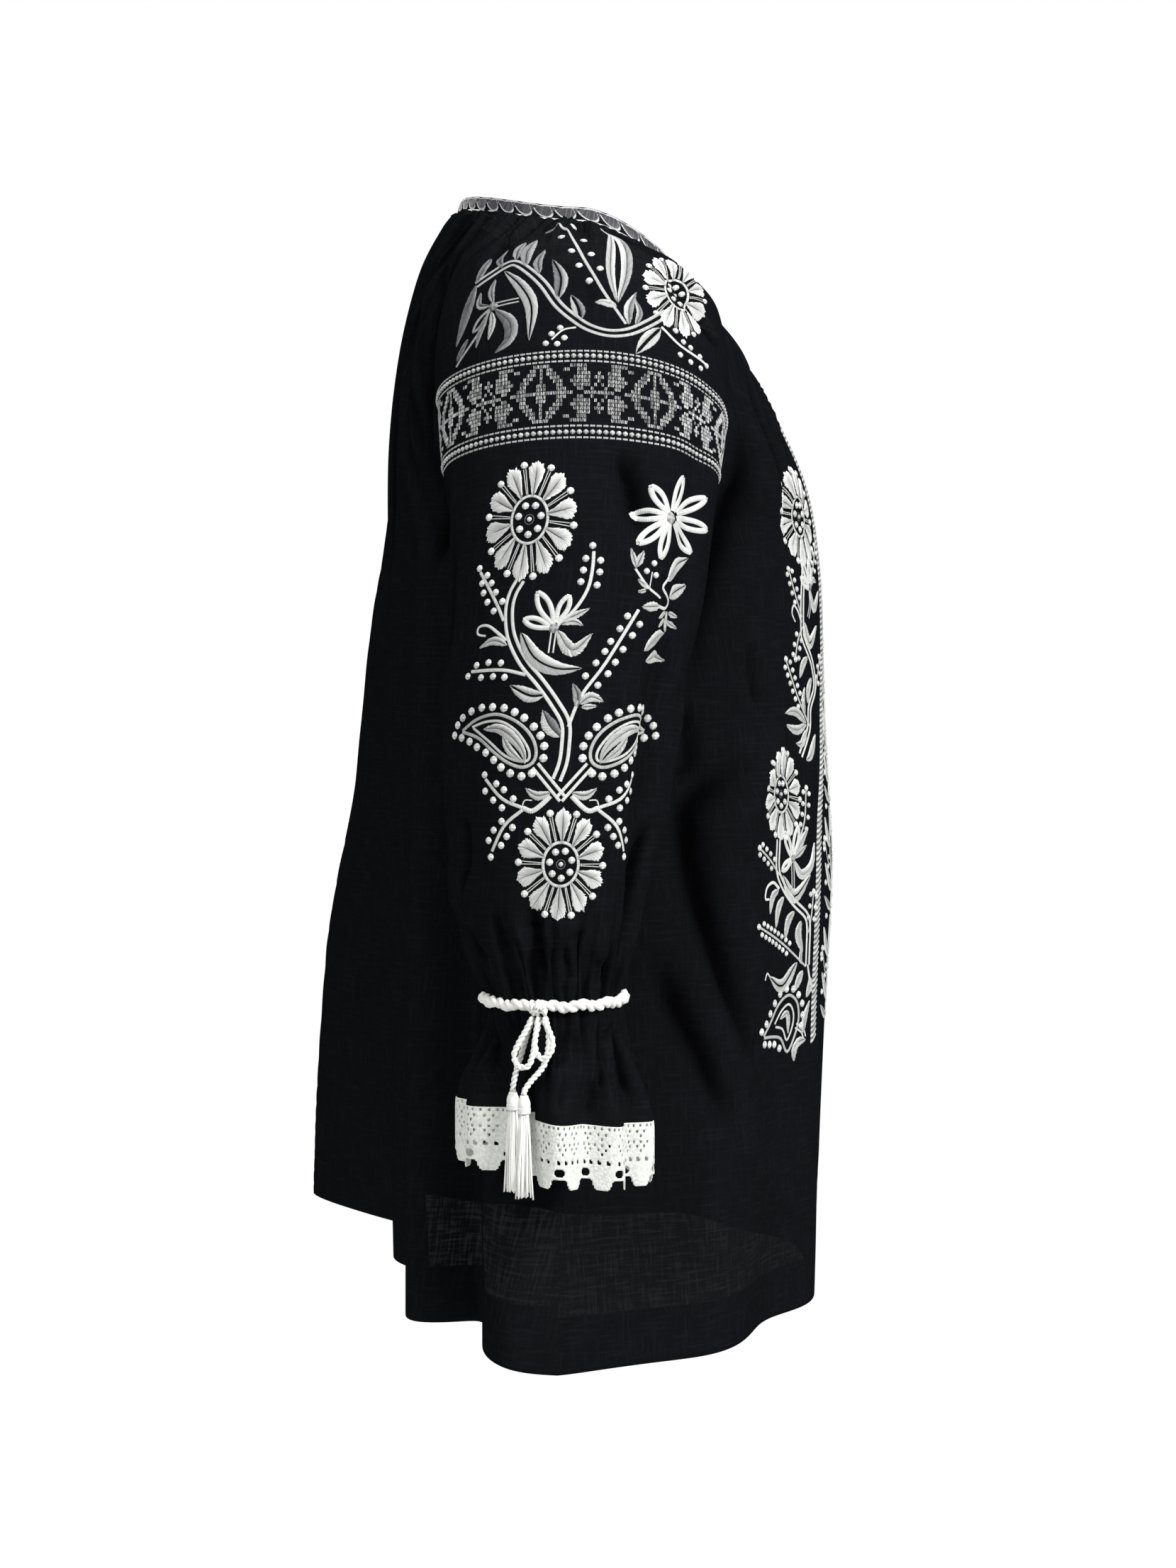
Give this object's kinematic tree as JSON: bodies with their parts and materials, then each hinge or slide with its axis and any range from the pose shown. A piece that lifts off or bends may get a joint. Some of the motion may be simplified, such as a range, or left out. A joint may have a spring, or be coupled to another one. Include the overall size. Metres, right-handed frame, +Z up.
{
  "type": "embroidered folk blouse",
  "caption": "Black gauze folk blouse with long raglan sleeves, white embroidery, laced cuffs and lace edging.",
  "frame": {"origin": "between the wearer's shoulders, in the middle of the neck opening at the height of its side edge, where the wearer carries the blouse", "axes": "+Z up, -Y towards the front, +X towards the wearer's left, so the right sleeve is at -X"},
  "size_m": [0.7996, 0.4153, 0.8633],
  "materials": {
    "gauze": "matt slubby cotton gauze",
    "neckband": "cotton band with satin stitch lobes",
    "lace": "white cotton crochet lace",
    "cord": "white twisted cotton cord"
  },
  "bodies": {
    "root": {"neckband": "neckband", "front_panel": "gauze", "back_panel": "gauze", "sleeve_right": "gauze", "sleeve_left": "gauze", "ruffle_right": "gauze", "ruffle_left": "gauze", "lace_front_right": "lace", "lace_back_right": "lace", "lace_front_left": "lace", "lace_back_left": "lace", "drawstring_right": "cord", "drawstring_left": "cord", "knot_right": "cord", "knot_left": "cord", "loop_back_right": "cord", "loop_back_left": "cord", "loop_front_right": "cord", "loop_front_left": "cord", "end_back_right": "cord", "end_back_left": "cord", "end_front_right": "cord", "end_front_left": "cord", "tassel_back_right": "cord", "tassel_back_left": "cord", "tassel_front_right": "cord", "tassel_front_left": "cord"}
  },
  "joints": []
}
